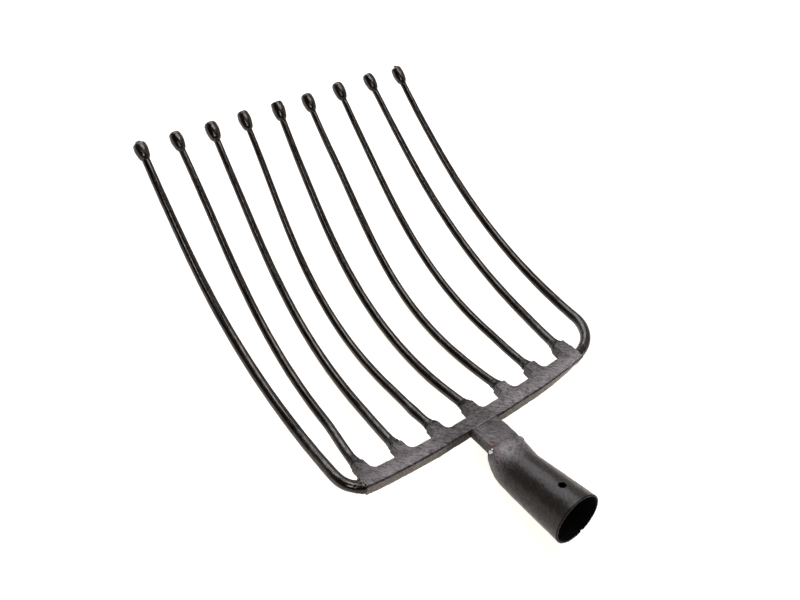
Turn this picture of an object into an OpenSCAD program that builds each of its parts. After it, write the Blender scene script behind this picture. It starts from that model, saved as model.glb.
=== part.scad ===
// Head of a potato fork: nine round tines with blunt knobs, welded to a dished crossbar, and a
// rolled socket for a wooden handle, joined to the bar by a flat neck.
//
// X runs from the handle towards the tips, Y across the tines with tine 1 on the +Y side, Z up.
// The origin is the middle of the socket's mouth. The head lies as it does on the ground, on the
// bellies of its tines and the underside of the socket, with the tips up. Sizes are millimetres.

/* [Handle socket] */
// Outer radius of the socket at its mouth
mouth_r = 21.5; // [20.5:0.5:26]
// Thickness of the socket's wall at its mouth
mouth_wall = 2.1; // [1.5:0.1:3]
// Depth of the straight bore that holds the handle just inside the mouth
bore_depth = 12; // [8:1:20]
// Outer radius where the round part of the socket ends and the flattening begins
waist_r = 17.6; // [16:0.2:20]
// Distance from the mouth to that place
waist_at = 55; // [45:1:58]
// Thickness of the socket's wall at that place
waist_wall = 2; // [1.5:0.1:3]
// Radius of the nail hole
nail_hole_r = 2.8; // [1.5:0.1:4]
// Distance from the mouth to the middle of the nail hole
nail_hole_at = 19; // [16:1:30]
// Width of the seam that closes the rolled socket
seam_w = 1.6; // [1:0.1:2.5]
// Where the seam lies, in degrees round from the underside towards tine 9
seam_turn = 25; // [0:5:60]
// Length at the mouth where the seam is left open as a notch
seam_notch = 3; // [2:0.5:10]

/* [Neck] */
// Distance from the socket's mouth to the bar's rear edge, along the socket
neck_reach = 97.2; // [92:0.2:110]
// Reach of the neck's side towards tine 1, from the socket's middle line
neck_left = 13; // [10:0.5:14]
// Reach of the neck's side towards tine 9, where it meets the bar
neck_right = 11; // [9:0.5:12]
// How much further that side reaches where it meets the socket
neck_flare = 3; // [0:0.5:3]
// Thickness of the neck
neck_t = 9; // [7:0.5:10]
// Length of the neck between the socket and the bar
neck_len = 21; // [16:1:24]
// Length of the narrow tongue that goes on into the socket
tongue_len = 14; // [8:1:16]
// Width of the tongue
tongue_w = 19; // [12:1:20]
// Thickness of the tongue
tongue_t = 5.5; // [4:0.5:6]
// Length of the socket's lip that goes on under the neck
lip_len = 3; // [1:0.5:5]
// Depth of the weld groove where the neck meets the bar
groove = 2; // [1:0.25:3]

/* [Crossbar] */
// Height of the bar's top above the middle line of the socket
bar_lift = 19.4; // [18:0.2:21]
// Angle between the bar's top and the middle line of the socket, in degrees
bar_pitch = 5.4; // [3:0.2:8]
// Depth of the bar from its rear edge to the edge between the stubs
bar_depth = 11.5; // [10:0.5:15]
// Thickness of the bar
bar_t = 10.4; // [9.5:0.1:13]
// Length of the bar beyond the root of tine 2
left_lap = 10; // [6:0.5:14]
// Length of the bar beyond the root of tine 8
right_lap = 5.5; // [5:0.5:12]
// Radius of the shallow dish that the bar is bent to, seen from behind
dish_r = 670; // [500:10:1500]
// Distance from the bar's rear edge to the ends of the stubs
stub_reach = 22; // [20:0.5:26]
// Width of a stub at its end
stub_w = 9.6; // [9:0.1:12]
// Radius of the hollow corner between a stub and the bar
stub_fillet = 4.5; // [2:0.25:5]
// How far the end of a stub is eased on its top and on its underside
stub_ease = 0.8; // [0.2:0.1:1]

/* [Tines] */
// Spacing of the tines at the bar
root_pitch = 34; // [30:0.5:40]
// Spacing of the tips
tip_pitch = 30; // [27:0.5:38]
// Length of the tines along the middle line, from the ends of the stubs to the tips
tine_len = 278; // [240:1:320]
// Radius of the seven inner tines where they leave the bar
inner_root_r = 3.7; // [3:0.1:4]
// Radius of the inner tines behind the knob
inner_tip_r = 2.3; // [1.8:0.1:2.9]
// Radius of the two outer tines where they leave the bar
outer_root_r = 4.2; // [3.5:0.1:4.5]
// Radius of the outer tines behind the knob
outer_tip_r = 2.7; // [2:0.1:2.9]
// How far out beyond the bar's end tine 1 runs
left_out = 11; // [9:0.5:24]
// How far out beyond the bar's end tine 9 runs
right_out = 26; // [14:0.5:34]
// Radius of the bend that brings tine 1 round from the bar's end
left_bend_r = 15; // [13:1:22]
// Radius of the bend that brings tine 9 round from the bar's end
right_bend_r = 28; // [14:1:32]
// Distance from the bar's rear edge to the middle of tine 1's root
left_root_at = 4.8; // [4.5:0.1:7]
// Distance from the bar's rear edge to the middle of tine 9's root
right_root_at = 6.4; // [4.5:0.1:7]
// How far the tines dip below the plane of the bar where they leave it, in degrees
root_dip = 5; // [0:0.5:8]
// How far a tine turns upwards along its length at the rate that it starts with, in degrees
curl = 37.3; // [25:0.1:44]
// How far the growth of that rate turns it besides, in degrees
curl_growth = 125.2; // [100:0.2:139]
// How far the fading of that growth towards the tip turns it back, in degrees
curl_fade = 127.8; // [108:0.2:150]
// Largest radius of a knob
knob_r = 4.9; // [3.8:0.1:5.5]
// Length of a knob
knob_len = 14; // [11:0.5:20]

/* [Welds] */
// How far a weld collar stands out round a tine at the bar
collar_stand = 1; // [0.5:0.1:1.2]
// Length of a weld collar along the tine
collar_len = 6; // [4:0.5:8]
// Radius of the two weld beads at the socket's shoulders
bead_r = 2.4; // [1.5:0.1:3]

/* [Resting] */
// How far the head is tipped towards the tines when it lies on the ground, in degrees
lie_tilt = 16.7; // [10:0.1:22]

/* [Hidden] */
TINES = 9;
$fn = 96;
PAINT = "#2b2a2c";
WELD = "#3b3a3c";

// The head is forged and bent by hand, so each tine differs a little from the even pattern.
// The lists go from tine 1 to tine 9.
// Where a tine's root lies beside its even place on the bar
root_shift = [0, 4, 1, -1, -2.5, -2, 0.5, 3.5, 0];
// How far the root stands beside the line that the tine then takes
root_set = [0, 4.5, 1.5, 2.5, -1, 0.5, 2, 1, 0];
// Where a tip lies beside its even place
tip_shift = [1, -1, -2.5, -1.5, -1.5, -0.5, -1.5, -3, 0];
// Sideways bow at the middle of a tine
bow = [-3.5, -3, -0.5, 6, 3.5, 2.5, 1, -5, -4.5];
// Sideways swing at a quarter of a tine's length, one way, and at three quarters the other way
sway = [-1.5, 0, 0, 0.5, 0.5, 2.5, 0.5, -1.5, -1.5];
// How far a tip stands above the common curve
tip_lift = [6.5, 5, 5.5, 11.5, 9, 2, 1.5, -4, -7.5];
// How far a tip is bent towards tine 9 over the last part of its tine
tip_swing = [2, 1.4, 2.1, 0.3, 2.9, 4.5, 2.6, 2.1, 3];
// Length of that last part
swing_len = 50;
// How much longer a tine is than the common length
extra_len = [6.5, 6.5, 6, 2, 1, 2, -0.5, -2.5, -7];
// Share of a tine's length over which it comes from its root to its own line
settle = 0.16;

// Sides of a tine, rings along its shaft and along an outer tine's bend, and steps in working out
// its middle line
tine_sides = 14;
shaft_rings = 26;
bend_rings = 8;
path_steps = 150;
// How the radius of a shaft falls along it: 1 is an even taper, and less is a quicker start
taper_power = 0.9;
// Outline of a knob from its rear to the tip, as shares of its length and of its radius
knob_outline = [[0.03, 0.6], [0.14, 0.76], [0.34, 0.92], [0.6, 1], [0.8, 0.93], [0.93, 0.66], [1, 0.3]];
// Outline of a weld collar from the bar outwards, as shares of its length and of its stand
collar_outline = [[0, 1], [0.45, 0.85], [1, 0.15]];

// Radius of the bore that holds the handle
bore_r = mouth_r - mouth_wall;
// Sides of the socket's outer form, and of a full turn of the bar's dish
socket_sides = 64;
dish_sides = 720;
// Distance from the mouth to the lip of the socket under the neck
lip_at = neck_reach - neck_len + lip_len;
// The flattening of the socket from the waist to that lip, as rows of: share of the way, half
// width and half height as shares of the waist's radius, and squareness. The top stays level.
flattening = [
    [0, 1, 1, 2], [0.27, 0.99, 0.93, 2.3], [0.52, 0.97, 0.81, 2.8],
    [0.73, 0.94, 0.65, 3.1], [0.91, 0.88, 0.47, 3.2], [1, 0.8, 0.36, 3.2]
];
// How far the seam stops short of the waist
seam_short = 4;
// How far the hollow goes on past the waist, and its radius at that end
hollow_end = 15;
hollow_end_r = 6;
// How far the tongue's top lies under the neck's top
tongue_drop = 2;
// How far a cut runs past the surface that it opens
cut = 1;

// Round a tine

function mix(a, b, share) = a + (b - a) * share;
function clamp(x) = min(1, max(0, x));
function ease(x) = clamp(x) * clamp(x) * (3 - 2 * clamp(x));
function unit(v) = v / norm(v);

// Places across the bar, of one tine

function is_outer(i) = i == 0 || i == TINES - 1;
function side(i) = i < TINES / 2 ? 1 : -1;
function even_place(i, pitch) = ((TINES - 1) / 2 - i) * pitch;
function stub_y(i) = even_place(i, root_pitch) + root_shift[i];
function bar_end(i) = i < TINES / 2 ? stub_y(1) + left_lap : stub_y(TINES - 2) - right_lap;
function out(i) = i == 0 ? left_out : right_out;
function line_y(i) = is_outer(i) ? bar_end(i) + side(i) * out(i) : stub_y(i) - root_set[i];
function tip_y(i) = even_place(i, tip_pitch) + tip_shift[i];
function root_r(i) = is_outer(i) ? outer_root_r : inner_root_r;
function tip_r(i) = is_outer(i) ? outer_tip_r : inner_tip_r;
function length(i) = tine_len + extra_len[i];
// Rise of the dished bar at a distance from the neck
function dish(y) = dish_r - sqrt(dish_r * dish_r - y * y);

// The bend of an outer tine, seen from above: straight out of the bar's end, then an arc

function root_at(i) = i == 0 ? left_root_at : right_root_at;
function bend_r(i) = i == 0 ? left_bend_r : right_bend_r;
function bend_angle(i) = acos(max(0, 1 - out(i) / bend_r(i)));
function bend_straight(i) = max(0, out(i) - bend_r(i));
function bend_arc(i) = bend_r(i) * bend_angle(i) * PI / 180;
function bend_end(i) = bend_straight(i) + bend_arc(i);
// Length of the middle line from the bar's end to the place level with the ends of the stubs
function lead(i) = is_outer(i)
    ? bend_end(i) + stub_reach - root_at(i) - bend_r(i) * sin(bend_angle(i)) : 0;

// The middle line of a tine in the bar's own frame, before its own bow, sway and lift

// Upward angle of the common curve at a distance d from the ends of the stubs
function climb(d) = let (u = d / tine_len) -root_dip + curl * u + curl_growth * u * u - curl_fade * u * u * u;
function direction(i, s) = let (
    d = s - lead(i),
    up = d < 0 ? -root_dip * s / lead(i) : climb(d),
    round = is_outer(i) ? bend_angle(i) * (1 - clamp((s - bend_straight(i)) / bend_arc(i))) : 0
) [cos(up) * cos(round), side(i) * cos(up) * sin(round), sin(up)];
function root(i) = is_outer(i) ? [root_at(i), bar_end(i), 0] : [stub_reach, line_y(i), 0];
function path(i) = let (step = (lead(i) + length(i)) / path_steps) [
    for (k = 0, p = root(i); k <= path_steps; p = p + step * direction(i, (k + 0.5) * step), k = k + 1) p
];

// The finished middle line, at a distance s from the bar

function on_path(path, share) = let (
    k = min(path_steps - 1, floor(share * path_steps))
) mix(path[k], path[k + 1], share * path_steps - k);
function middle(i, path, s) = let (
    p = on_path(path, s / (lead(i) + length(i))),
    u = max(0, (s - lead(i)) / length(i)),
    own_root = root_set[i] * ease(1 - u / settle),
    swung = tip_swing[i] * pow(clamp((u - 1) * length(i) / swing_len + 1), 2),
    drift = (tip_y(i) - line_y(i)) * u + bow[i] * sin(180 * u) + sway[i] * sin(360 * u) - swung
) [p.x, p.y + own_root + drift, dish(p.y + own_root) - bar_t / 2 + p.z + tip_lift[i] * u * u];
function heading(i, path, s) = s > 0
    ? unit(middle(i, path, s) - middle(i, path, s - 1))
    : (is_outer(i) ? [0, side(i), 0] : [1, 0, 0]);
function ring(i, path, s, r) = let (
    ahead = heading(i, path, s),
    across = unit(cross([0, 0, 1], ahead)),
    above = cross(ahead, across),
    centre = middle(i, path, s)
) [
    for (k = [0:tine_sides - 1]) let (a = 360 * k / tine_sides)
        centre + r * (cos(a) * across + sin(a) * above)
];

// Radius of a tine's shaft at a distance s from the bar
function shaft_r(i, s) = mix(root_r(i), tip_r(i), pow(clamp((s - lead(i)) / length(i)), taper_power));
function collar_at(q) = q[0] * collar_len;
function shaft_end(i) = lead(i) + length(i) - knob_len;

// Faces that join rings of points in their order, each ring having as many points

function band(rings, sides, last) = [
    for (k = [0:last]) for (j = [0:sides - 1]) let (
        a = k * sides + j,
        b = k * sides + (j + 1) % sides,
        c = ((k + 1) % rings) * sides + j,
        d = ((k + 1) % rings) * sides + (j + 1) % sides
    ) each [[a, c, d], [a, d, b]]
];
function flat(rings) = [for (r = rings) each r];

// A solid skin over rings of points, closed at both ends
module skin(rings) {
    sides = len(rings[0]);
    first = [for (j = [0:sides - 1]) j];
    last = [for (j = [sides - 1:-1:0]) (len(rings) - 1) * sides + j];
    polyhedron(flat(rings), concat([first, last], band(len(rings), sides, len(rings) - 2)));
}

// A sleeve whose rings go out along its outside and come back along its inside
module sleeve(outer, inner) {
    back = [for (k = [len(inner) - 1:-1:0]) inner[k]];
    rings = concat(outer, back);
    polyhedron(flat(rings), band(len(rings), len(outer[0]), len(rings) - 1));
}

// Frames: the socket's middle line, and the middle of the bar's rear top edge

module on_socket() rotate([0, lie_tilt, 0]) children();
module on_bar() on_socket() translate([neck_reach, 0, bar_lift]) rotate([0, -bar_pitch, 0]) children();

// Crossbar

module bar_plan() {
    span = [stub_reach, bar_end(0) - bar_end(TINES - 1)];
    intersection() {
        translate([0, bar_end(TINES - 1)]) square(span);
        union() {
            translate([0, bar_end(TINES - 1)]) square([bar_depth, span.y]);
            for (i = [1:TINES - 2]) translate([bar_depth, stub_y(i)]) {
                translate([-cut, -stub_w / 2]) square([stub_reach - bar_depth + cut, stub_w]);
                for (flip = [0, 1]) mirror([0, flip]) difference() {
                    translate([-cut, 0]) square([stub_fillet + cut, stub_w / 2 + stub_fillet]);
                    translate([stub_fillet, stub_w / 2 + stub_fillet]) circle(stub_fillet);
                }
            }
        }
    }
}

// The dished slab that the bar is cut from, with the top and underside eased towards the stubs' ends
module dished_slab() {
    eased_from = bar_depth + stub_fillet;
    half_turn = asin((max(bar_end(0), -bar_end(TINES - 1)) + bar_t) / dish_r);
    translate([0, 0, dish_r]) rotate([0, 90, 0]) rotate([0, 0, -half_turn])
        rotate_extrude(angle = 2 * half_turn, $fn = dish_sides) polygon([
            [dish_r, -cut], [dish_r, eased_from], [dish_r + stub_ease, stub_reach + cut],
            [dish_r + bar_t - stub_ease, stub_reach + cut], [dish_r + bar_t, eased_from],
            [dish_r + bar_t, -cut]
        ]);
}

module crossbar() color(PAINT) on_bar() intersection() {
    dished_slab();
    translate([0, 0, -2 * bar_t]) linear_extrude(4 * bar_t + dish(bar_end(0))) bar_plan();
}

// Neck, with its front edges bevelled for the weld

// The part of the neck that lies inside the socket, with its front end a little inside the neck
module tongue() translate([-tongue_len - cut, -tongue_w / 2, -tongue_drop - tongue_t])
    cube([tongue_len + cut, tongue_w, tongue_t]);

module neck_block() translate([0, 0, -neck_t]) linear_extrude(neck_t) polygon([
    [-neck_len, neck_left], [0, neck_left], [0, -neck_right], [-neck_len, -neck_right - neck_flare]
]);

// The two grooves across the front of the neck, above and below
module grooves() rotate([90, 0, 0]) translate([0, 0, -2 * neck_left]) linear_extrude(4 * neck_left) {
    polygon([[-groove, 0], [0, -groove], [0, 0]]);
    polygon([[-groove, -neck_t], [0, -neck_t], [0, groove - neck_t]]);
}

module neck() color(PAINT) on_bar() {
    difference() {
        neck_block();
        grooves();
    }
    translate([cut - neck_len, 0, 0]) tongue();
}

module neck_weld() color(WELD) on_bar() intersection() {
    neck_block();
    grooves();
}

// Socket

// Outline of the socket at one place: a circle that grows squarer as it flattens
function socket_ring(s, half_w, half_h, rise, square) = [
    for (k = [0:socket_sides - 1]) let (
        a = 360 * k / socket_sides,
        reach = pow(pow(abs(cos(a)), square) + pow(abs(sin(a)), square), -1 / square)
    ) [s, half_w * reach * cos(a), rise + half_h * reach * sin(a)]
];

module socket_form() skin(concat(
    [socket_ring(0, mouth_r, mouth_r, 0, 2)],
    [for (f = flattening) socket_ring(
        mix(waist_at, lip_at, f[0]), waist_r * f[1], waist_r * f[2], waist_r * (1 - f[2]), f[3])]
));

// The hollow that takes the handle: a straight bore, then a cone that closes past the waist
module socket_hollow() rotate([0, 90, 0]) rotate_extrude() polygon([
    [0, -cut], [bore_r, -cut], [bore_r, bore_depth], [waist_r - waist_wall, waist_at],
    [hollow_end_r, waist_at + hollow_end], [0, waist_at + hollow_end]
]);

// A blade that lies along the seam, from a distance from the mouth to a little short of the waist
module seam_blade(from) rotate([-seam_turn, 0, 0]) translate([from, -seam_w / 2, -2 * mouth_r])
    cube([waist_at - seam_short - from, seam_w, 2 * mouth_r]);

module socket() color(PAINT) difference() {
    on_socket() difference() {
        socket_form();
        socket_hollow();
        translate([nail_hole_at, 0, 0]) cylinder(r = nail_hole_r, h = 2 * mouth_r);
        seam_blade(-cut);
    }
    on_bar() {
        translate([-neck_len, -mouth_r, -neck_t]) cube([2 * neck_len, 2 * mouth_r, 2 * mouth_r]);
        translate([cut - neck_len, 0, 0]) tongue();
    }
}

module socket_seam_weld() color(WELD) on_socket() intersection() {
    difference() {
        socket_form();
        socket_hollow();
    }
    seam_blade(seam_notch);
}

// A quarter of a ball in the corner between the neck's side and the front of the socket
module shoulder_weld(flip, reach) color(WELD) on_bar() mirror([0, flip, 0])
    translate([-neck_len, reach, -neck_t / 2]) intersection() {
        sphere(bead_r);
        translate([0, 0, -bead_r]) cube([bead_r, bead_r, 2 * bead_r]);
    }

// Tines and their weld collars, by number from 1

module tine(number) {
    i = number - 1;
    line = path(i);
    collar = [for (q = collar_outline) collar_at(q)];
    bend = is_outer(i) ? [for (k = [1:bend_rings]) mix(collar_len, bend_end(i), k / bend_rings)] : [];
    shaft_from = is_outer(i) ? bend_end(i) : collar_len;
    shaft = [for (k = [1:shaft_rings]) mix(shaft_from, shaft_end(i), k / shaft_rings)];
    color(PAINT) on_bar() skin(concat(
        [for (s = concat(collar, bend, shaft)) ring(i, line, s, shaft_r(i, s))],
        [for (q = knob_outline) ring(i, line, shaft_end(i) + q[0] * knob_len, q[1] * knob_r)]
    ));
}

module tine_weld(number) {
    i = number - 1;
    line = path(i);
    function at(q, stand) = ring(i, line, collar_at(q), shaft_r(i, collar_at(q)) + stand);
    color(WELD) on_bar() sleeve(
        [for (q = collar_outline) at(q, q[1] * collar_stand)],
        [for (q = collar_outline) at(q, 0)]
    );
}

crossbar();
neck();
neck_weld();
socket();
socket_seam_weld();
shoulder_weld(0, neck_left);  // left_shoulder_weld
shoulder_weld(1, neck_right + neck_flare);  // right_shoulder_weld
for (number = [1:TINES]) {
    tine(number);
    tine_weld(number);
}
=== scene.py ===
"""The looks of a potato fork head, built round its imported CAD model.

Lengths of the head and its pieces are millimetres. Those of finishes, lights and camera are metres, as in
the model's own frame.
"""

import math

import bmesh
import bpy
import numpy as np
from mathutils import Matrix, Vector, noise


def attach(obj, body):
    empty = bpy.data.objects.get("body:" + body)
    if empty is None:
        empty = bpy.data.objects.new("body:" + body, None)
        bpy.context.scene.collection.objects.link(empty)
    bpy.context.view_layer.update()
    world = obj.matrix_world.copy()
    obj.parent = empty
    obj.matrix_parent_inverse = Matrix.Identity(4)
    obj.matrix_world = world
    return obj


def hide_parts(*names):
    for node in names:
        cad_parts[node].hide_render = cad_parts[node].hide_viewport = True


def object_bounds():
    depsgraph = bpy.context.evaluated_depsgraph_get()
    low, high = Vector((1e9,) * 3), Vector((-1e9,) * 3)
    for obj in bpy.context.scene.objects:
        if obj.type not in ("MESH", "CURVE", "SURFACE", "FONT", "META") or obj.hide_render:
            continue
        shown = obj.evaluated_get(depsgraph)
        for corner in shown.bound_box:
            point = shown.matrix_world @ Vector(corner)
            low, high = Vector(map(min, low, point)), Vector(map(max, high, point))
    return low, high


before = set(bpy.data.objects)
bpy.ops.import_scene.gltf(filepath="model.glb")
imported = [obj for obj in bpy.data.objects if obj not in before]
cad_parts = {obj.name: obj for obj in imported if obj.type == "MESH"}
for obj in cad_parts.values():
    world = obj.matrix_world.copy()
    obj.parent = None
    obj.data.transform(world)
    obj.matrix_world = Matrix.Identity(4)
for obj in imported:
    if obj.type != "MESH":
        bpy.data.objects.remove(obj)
size_before = [list(corner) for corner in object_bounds()]

# Places of the CAD model's frames

MM = 0.001
# Points of a piece closer than this, in metres, are one
SAME_PLACE = 0.00002
# How far the head is tipped towards the tines when it lies on the ground
LIE_TILT = math.radians(16.7)
# The bar's rear edge from the socket's mouth, its top above the socket's middle line, and their angle
NECK_REACH = 97.2
BAR_LIFT = 19.4
BAR_PITCH = math.radians(5.4)
# The crossbar's thickness, the radius of its dish, the reach and width of its stubs, and its two ends
BAR_T = 10.4
DISH_R = 670
STUB_REACH = 22
STUB_W = 9.6
BAR_END_LEFT = 116
BAR_END_RIGHT = -104
# The neck's length, the reach of its two sides, its thickness, and the depth of its weld groove
NECK_LEN = 21
NECK_LEFT = 13
NECK_RIGHT = 11
NECK_T = 9
GROOVE = 2
# The socket's outer and inner radius at its mouth
MOUTH_R = 21.5
BORE_R = 19.4

# Shapes of the tines, with lists that go from tine 1 to tine 9

TINES = 9
# Spacing at the bar and at the tips, and the length along the middle line
ROOT_PITCH = 34
TIP_PITCH = 30
TINE_LEN = 278
# Where a root lies beside its even place on the bar
ROOT_SHIFT = [0, 4, 1, -1, -2.5, -2, 0.5, 3.5, 0]
# How far a root stands beside the line that its tine then takes, and the share of the length where that ends
ROOT_SET = [0, 4.5, 1.5, 2.5, -1, 0.5, 2, 1, 0]
SETTLE = 0.16
# Where a tip lies beside its even place
TIP_SHIFT = [1, -1, -2.5, -1.5, -1.5, -0.5, -1.5, -3, 0]
# Sideways bow at the middle of a tine, and its swing at a quarter and, the other way, at three quarters
BOW = [-3.5, -3, -0.5, 6, 3.5, 2.5, 1, -5, -4.5]
SWAY = [-1.5, 0, 0, 0.5, 0.5, 2.5, 0.5, -1.5, -1.5]
# How far a tip stands above the common curve
TIP_LIFT = [6.5, 5, 5.5, 11.5, 9, 2, 1.5, -4, -7.5]
# How far a tip is bent towards tine 9 over the last part of its tine, and the length of that part
TIP_SWING = [2, 1.4, 2.1, 0.3, 2.9, 4.5, 2.6, 2.1, 3]
SWING_LEN = 50
# How much longer a tine is than the common length
EXTRA_LEN = [6.5, 6.5, 6, 2, 1, 2, -0.5, -2.5, -7]
# The common curve in degrees: its dip at the bar, how far it turns upwards at the rate that it starts with,
# how far the growth of that rate turns it besides, and how far the fading of that growth turns it back
ROOT_DIP = 5
CURL = 37.3
CURL_GROWTH = 125.2
CURL_FADE = 127.8
PATH_STEPS = 600
# The bends of tine 1 and tine 9 round the bar's ends: the root's distance from the bar's rear edge, the
# radius of the bend, how far out beyond the bar's end the tine runs, and that end of the bar
LEFT_BEND = (4.8, 15, 11, BAR_END_LEFT)
RIGHT_BEND = (6.4, 28, 26, BAR_END_RIGHT)
# Radii where a tine leaves the bar and behind its knob, and how the taper falls: 1 is even, less is quicker
ROOT_RADIUS = [4.5, 3.9, 4.0, 3.8, 3.95, 3.7, 3.6, 3.95, 4.25]
TIP_RADIUS = [3.1, 2.65, 2.55, 2.2, 2.6, 2.45, 2.3, 2.35, 2.4]
TAPER_POWER = 0.92
KNOB_LEN = 14
# Each knob: its largest radius, the share of its length where it ends, and its radius there as a share
KNOBS = [
    (5.4, 0.92, 0.5), (5.05, 1.03, 0.3), (5.4, 1.03, 0.3), (4.95, 1.03, 0.34), (5.15, 0.97, 0.78),
    (5.05, 1.0, 0.46), (4.85, 1.03, 0.24), (4.75, 1.04, 0.3), (4.7, 1.08, 0.45),
]
# The outline that all knobs share, as rows of: share of the length, and share of the largest radius
KNOB_BODY = [
    (0.0, 0.58), (0.04, 0.67), (0.1, 0.77), (0.2, 0.86), (0.3, 0.91), (0.42, 0.965), (0.54, 1.0),
    (0.65, 0.995), (0.74, 0.955),
]
# Rings of the round nose, as shares of the way from that body to the knob's end, and the small flat there
NOSE_RINGS = (0.35, 0.65, 0.86, 0.97)
NOSE_FLAT = 0.9
NOSE_FLAT_LEN = 0.004
# The blunt nub at the end of one knob, in rows like the body's
NUB_TINE = 0
NUB = [(0.96, 0.44), (1.0, 0.38), (1.04, 0.3), (1.06, 0.18)]


def turn_y(p, angle):
    """Points turned about Y."""
    c, s = math.cos(angle), math.sin(angle)
    return np.stack([p[..., 0] * c + p[..., 2] * s, p[..., 1], -p[..., 0] * s + p[..., 2] * c], -1)


def from_socket(p):
    """Millimetres in the socket's frame to metres in the model's frame."""
    return turn_y(np.asarray(p, float), LIE_TILT) * MM


def from_bar(p):
    """Millimetres in the bar's frame to metres in the model's frame."""
    return from_socket(turn_y(np.asarray(p, float), -BAR_PITCH) + np.array([NECK_REACH, 0, BAR_LIFT]))


def to_socket(p):
    """Metres in the model's frame to millimetres in the socket's frame."""
    return turn_y(np.asarray(p, float) / MM, -LIE_TILT)


def to_bar(p):
    """Metres in the model's frame to millimetres in the bar's frame."""
    return turn_y(to_socket(p) - np.array([NECK_REACH, 0, BAR_LIFT]), BAR_PITCH)


def clamp(x):
    return min(1.0, max(0.0, x))


def ease(x):
    x = clamp(x)
    return x * x * (3 - 2 * x)


def dish(y):
    """Height of the bar's dished top at a place along it."""
    return DISH_R - np.sqrt(DISH_R * DISH_R - y * y)


class Tine:
    """The middle line of one tine, as in the CAD model."""

    def __init__(self, i):
        self.i = i
        self.outer = i in (0, TINES - 1)
        self.side = 1 if i < TINES / 2 else -1
        self.length = TINE_LEN + EXTRA_LEN[i]
        self.tip_y = ((TINES - 1) / 2 - i) * TIP_PITCH + TIP_SHIFT[i]
        self.lead = 0
        if self.outer:
            root_at, bend_r, out, bar_end = LEFT_BEND if i == 0 else RIGHT_BEND
            self.bend_angle = math.acos(max(0, 1 - out / bend_r))
            self.bend_straight = max(0, out - bend_r)
            self.bend_arc = bend_r * self.bend_angle
            self.lead = (self.bend_straight + self.bend_arc + STUB_REACH - root_at
                         - bend_r * math.sin(self.bend_angle))
            self.line_y = bar_end + self.side * out
            root = [root_at, bar_end, 0]
        else:
            stub_y = ((TINES - 1) / 2 - i) * ROOT_PITCH + ROOT_SHIFT[i]
            self.line_y = stub_y - ROOT_SET[i]
            root = [STUB_REACH, self.line_y, 0]
        self.total = self.lead + self.length
        step = self.total / PATH_STEPS
        points = [np.array(root, float)]
        for k in range(PATH_STEPS):
            points.append(points[-1] + step * self.direction((k + 0.5) * step))
        self.path = np.array(points)

    def direction(self, s):
        """Which way the common curve runs at a distance s from the bar."""
        d = s - self.lead
        u = d / TINE_LEN
        if d < 0:
            up = -ROOT_DIP * s / self.lead
        else:
            up = -ROOT_DIP + CURL * u + CURL_GROWTH * u * u - CURL_FADE * u ** 3
        up = math.radians(up)
        turn = 0
        if self.outer:
            turn = self.bend_angle * (1 - clamp((s - self.bend_straight) / self.bend_arc))
        return np.array([
            math.cos(up) * math.cos(turn), self.side * math.cos(up) * math.sin(turn), math.sin(up)])

    def middle(self, s):
        """Middle point at a distance s from the bar; a negative s lies straight back inside the bar."""
        if s < 0:
            return self.middle(0) + s * self.heading(0)
        at = min(s / self.total * PATH_STEPS, PATH_STEPS - 1e-6)
        k = int(at)
        p = self.path[k] + (self.path[k + 1] - self.path[k]) * (at - k)
        u = max(0, (s - self.lead) / self.length)
        i = self.i
        own_root = ROOT_SET[i] * ease(1 - u / SETTLE)
        swung = TIP_SWING[i] * clamp((u - 1) * self.length / SWING_LEN + 1) ** 2
        drift = ((self.tip_y - self.line_y) * u + BOW[i] * math.sin(math.pi * u)
                 + SWAY[i] * math.sin(2 * math.pi * u) - swung)
        return np.array([
            p[0], p[1] + own_root + drift,
            dish(p[1] + own_root) - BAR_T / 2 + p[2] + TIP_LIFT[i] * u * u])

    def heading(self, s):
        """Which way the tine itself runs at s."""
        if s <= 0:
            return np.array([0.0, self.side, 0.0]) if self.outer else np.array([1.0, 0.0, 0.0])
        v = self.middle(s) - self.middle(max(0, s - 1))
        return v / np.linalg.norm(v)

    def frame(self, s):
        """Middle point and the two directions across the tine at s: sideways, and above."""
        ahead = self.heading(s)
        across = np.cross([0, 0, 1], ahead)
        across /= np.linalg.norm(across)
        return self.middle(s), across, np.cross(ahead, across)

    def shaft_r(self, s):
        """Radius of the shaft at s."""
        u = clamp((s - self.lead) / self.length)
        i = self.i
        return ROOT_RADIUS[i] + (TIP_RADIUS[i] - ROOT_RADIUS[i]) * u ** TAPER_POWER


def wave(x, y, z):
    """Smooth noise from -1 to 1."""
    return noise.noise(Vector((x, y, z)))


def skin(rings):
    """A closed mesh over rings of points, with a cap at both ends."""
    rings = np.asarray(rings)
    count, sides = rings.shape[:2]
    flat = rings.reshape(-1, 3)
    faces = []
    for k in range(count - 1):
        for j in range(sides):
            a, b = k * sides + j, k * sides + (j + 1) % sides
            faces.append((a, b, b + sides, a + sides))
    first = len(flat)
    points = np.concatenate([flat, [rings[0].mean(0)], [rings[-1].mean(0)]])
    last = (count - 1) * sides
    for j in range(sides):
        n = (j + 1) % sides
        faces.append((first, n, j))
        faces.append((first + 1, last + j, last + n))
    mesh = bpy.data.meshes.new("skin")
    mesh.from_pydata([tuple(p) for p in points], [], faces)
    return mesh


def points_of(mesh):
    points = np.zeros(len(mesh.vertices) * 3)
    mesh.vertices.foreach_get("co", points)
    return points.reshape(-1, 3)


def mesh_from(bm, name):
    """A mesh made from a working form, which is then gone."""
    mesh = bpy.data.meshes.new(name)
    bm.to_mesh(mesh)
    bm.free()
    return mesh


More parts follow.
